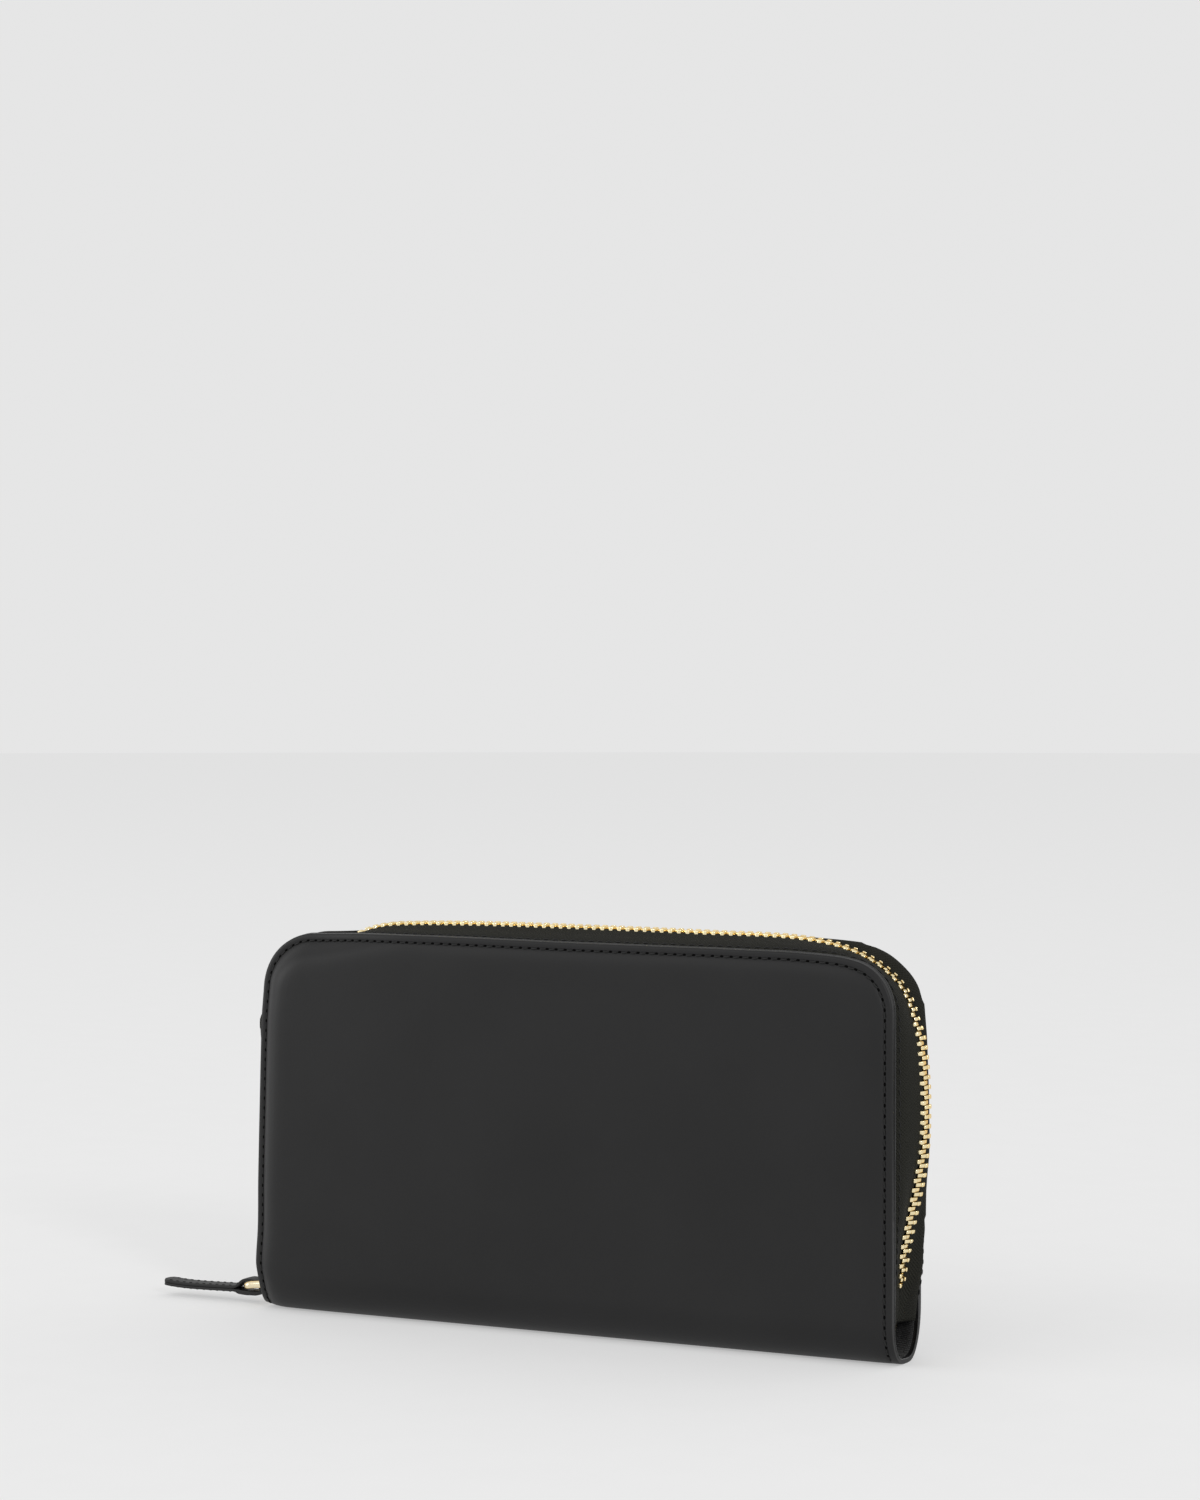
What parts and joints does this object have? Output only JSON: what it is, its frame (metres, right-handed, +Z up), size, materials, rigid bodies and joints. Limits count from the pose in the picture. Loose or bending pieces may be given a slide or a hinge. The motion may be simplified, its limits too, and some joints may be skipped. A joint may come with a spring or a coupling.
{
  "type": "zip around wallet",
  "caption": "Long zip-around wallet with padded leather covers, gold zip, ring and strap pull, card slots, gusseted note compartments and a zipped coin pocket.",
  "frame": {"origin": "centre of the flat strip under the spine, at the table", "axes": "+X along the spine, away from the closed zip's pull; -Y out of the front face; +Z up, from the spine to the zip's top run"},
  "size_m": [0.2301, 0.026, 0.1089],
  "materials": {
    "cover_leather": "satin",
    "pocket_leather": "satin",
    "lining_cloth": "matte",
    "foam": "matte",
    "board": "matte",
    "zip_tape": "matte",
    "gold_teeth": "polished",
    "gold_metal": "polished"
  },
  "bodies": {
    "spine": {"spine_leather": "cover_leather", "spine_lining": "lining_cloth", "coin_pocket_front": "pocket_leather", "coin_pocket_rear": "pocket_leather", "coin_pocket_base": "pocket_leather", "coin_pocket_side_left": "pocket_leather", "coin_pocket_side_right": "pocket_leather", "coin_zip_tape_front": "zip_tape", "coin_zip_tape_rear": "zip_tape", "coin_zip_teeth_front": "gold_teeth", "coin_zip_teeth_rear": "gold_teeth", "coin_zip_stops": "gold_teeth", "gusset_front_left": "lining_cloth", "gusset_front_right": "lining_cloth", "gusset_rear_left": "lining_cloth", "gusset_rear_right": "lining_cloth", "zip_tail_left": "zip_tape", "zip_tail_right": "zip_tape", "zip_end_teeth_left": "gold_teeth", "zip_end_teeth_right": "gold_teeth", "zip_stops_left": "gold_teeth", "zip_stop_right": "gold_teeth"},
    "front_cover": {"front_cover_leather": "cover_leather", "front_foam": "foam", "front_board": "board", "front_lining": "lining_cloth", "front_card_slot_1": "pocket_leather", "front_card_slot_2": "pocket_leather", "front_card_slot_3": "pocket_leather", "front_card_slot_4": "pocket_leather", "front_zip_tape": "zip_tape", "front_zip_teeth": "gold_teeth"},
    "rear_cover": {"rear_cover_leather": "cover_leather", "rear_foam": "foam", "rear_board": "board", "rear_lining": "lining_cloth", "rear_card_slot_1": "pocket_leather", "rear_card_slot_2": "pocket_leather", "rear_card_slot_3": "pocket_leather", "rear_card_slot_4": "pocket_leather", "rear_zip_tape": "zip_tape", "rear_zip_teeth": "gold_teeth"},
    "zip_slider": {"zip_slider_body": "gold_metal", "zip_slider_crown": "gold_metal"},
    "pull_ring": {"pull_ring": "gold_metal"},
    "pull_strap": {"pull_strap": "cover_leather"},
    "coin_slider": {"coin_slider_body": "gold_metal", "coin_slider_crown": "gold_metal"},
    "coin_pull": {"coin_pull_tab": "gold_metal"}
  },
  "joints": [
    {"name": "front_cover_fold", "type": "hinge", "parent": "spine", "child": "front_cover", "pos_m": [0, -0.01, 0.004], "axis": [1, 0, 0], "range_deg": [0, 40], "deforming": ["gusset_front_left", "gusset_front_right"]},
    {"name": "rear_cover_fold", "type": "hinge", "parent": "spine", "child": "rear_cover", "pos_m": [0, 0.01, 0.004], "axis": [-1, 0, 0], "range_deg": [0, 40], "deforming": ["gusset_rear_left", "gusset_rear_right"]},
    {"name": "zip_slider_slide", "type": "slide", "parent": "spine", "child": "zip_slider", "axis": [0.0896, 0, -0.996], "range_m": [-0.066, 0]},
    {"name": "pull_ring_swing", "type": "hinge", "parent": "zip_slider", "child": "pull_ring", "pos_m": [-0.09374, 0, 0.00589], "axis": [0, 1, 0], "range_deg": [-15, 58]},
    {"name": "pull_strap_swing", "type": "hinge", "parent": "pull_ring", "child": "pull_strap", "pos_m": [-0.10269, 0, 0.00495], "axis": [0, 1, 0], "range_deg": [-60, 5]},
    {"name": "coin_slider_slide", "type": "slide", "parent": "spine", "child": "coin_slider", "axis": [1, 0, 0], "range_m": [-0.14, 0]},
    {"name": "coin_pull_swing", "type": "hinge", "parent": "coin_slider", "child": "coin_pull", "pos_m": [0.068, 0, 0.0817], "axis": [0, 1, 0], "range_deg": [0, 120]}
  ]
}
